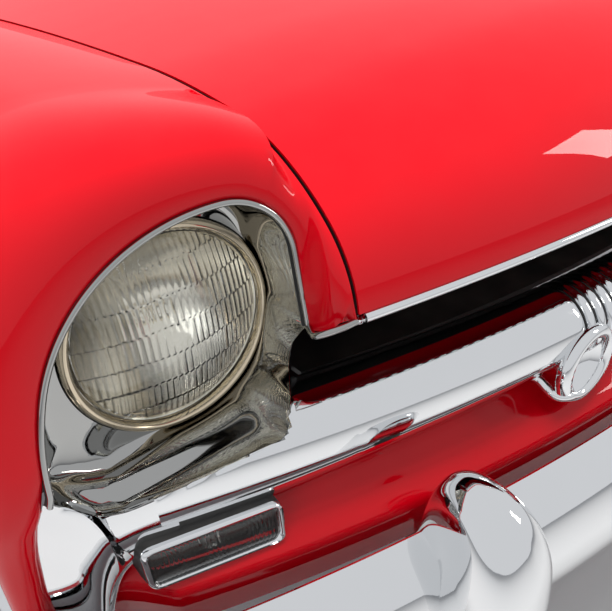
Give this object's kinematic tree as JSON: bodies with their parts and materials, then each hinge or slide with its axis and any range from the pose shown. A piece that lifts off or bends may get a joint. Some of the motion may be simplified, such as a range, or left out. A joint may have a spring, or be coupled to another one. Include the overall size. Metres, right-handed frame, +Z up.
{
  "type": "car front end body assembly",
  "caption": "Full-width front end of a 1950s saloon: wings, hinged hood, headlamps, grille bars, valance and bumper with guards.",
  "frame": {"origin": "centre of the crossmember's flat underside, where the assembly sits on its stand or chassis", "axes": "+Z up; the front of the car faces -Y; +X is the car's left side"},
  "size_m": [1.8196, 1.506, 0.798],
  "materials": {
    "body_red": "deep gloss red enamel",
    "frame_red": "satin red primer coat",
    "chrome": "bright plating",
    "ring_metal": "bright plating, slightly warm",
    "lamp_glass": "clear fluted glass",
    "signal_glass": "clear fluted glass",
    "reflector": "silvered bowl",
    "black_paint": "satin black",
    "core_metal": "dark finned core",
    "chassis_steel": "satin black chassis paint"
  },
  "bodies": {
    "front_body": {"air_duct": "black_paint", "bumper_bar": "chrome", "bumper_guard_left": "chrome", "bumper_guard_right": "chrome", "bumper_iron_left": "chassis_steel", "bumper_iron_right": "chassis_steel", "fender_left": "body_red", "fender_right": "body_red", "front_subframe": "chassis_steel", "grille_bar_left": "chrome", "grille_bar_right": "chrome", "grille_centre": "chrome", "headlamp_bezel_left": "chrome", "headlamp_bezel_right": "chrome", "headlamp_bucket_left": "black_paint", "headlamp_bucket_right": "black_paint", "headlamp_lens_left": "lamp_glass", "headlamp_lens_right": "lamp_glass", "headlamp_reflector_left": "reflector", "headlamp_reflector_right": "reflector", "headlamp_ring_left": "ring_metal", "headlamp_ring_right": "ring_metal", "hinge_bracket_left": "chassis_steel", "hinge_bracket_right": "chassis_steel", "inner_fender_left": "black_paint", "inner_fender_right": "black_paint", "radiator": "core_metal", "radiator_support": "black_paint", "turn_signal_housing_left": "chrome", "turn_signal_housing_right": "chrome", "turn_signal_lens_left": "signal_glass", "turn_signal_lens_right": "signal_glass", "upper_panel": "black_paint", "valance": "body_red"},
    "hood": {"hinge_arm_left": "chassis_steel", "hinge_arm_right": "chassis_steel", "hood_frame": "frame_red", "hood_lip_trim": "chrome", "hood_ornament": "chrome", "hood_panel": "body_red"}
  },
  "joints": [
    {"name": "hood_hinge", "type": "hinge", "parent": "front_body", "child": "hood", "pos_m": [0, 0.88, 0.482], "axis": [-1, 0, 0], "range_deg": [0, 50]}
  ]
}
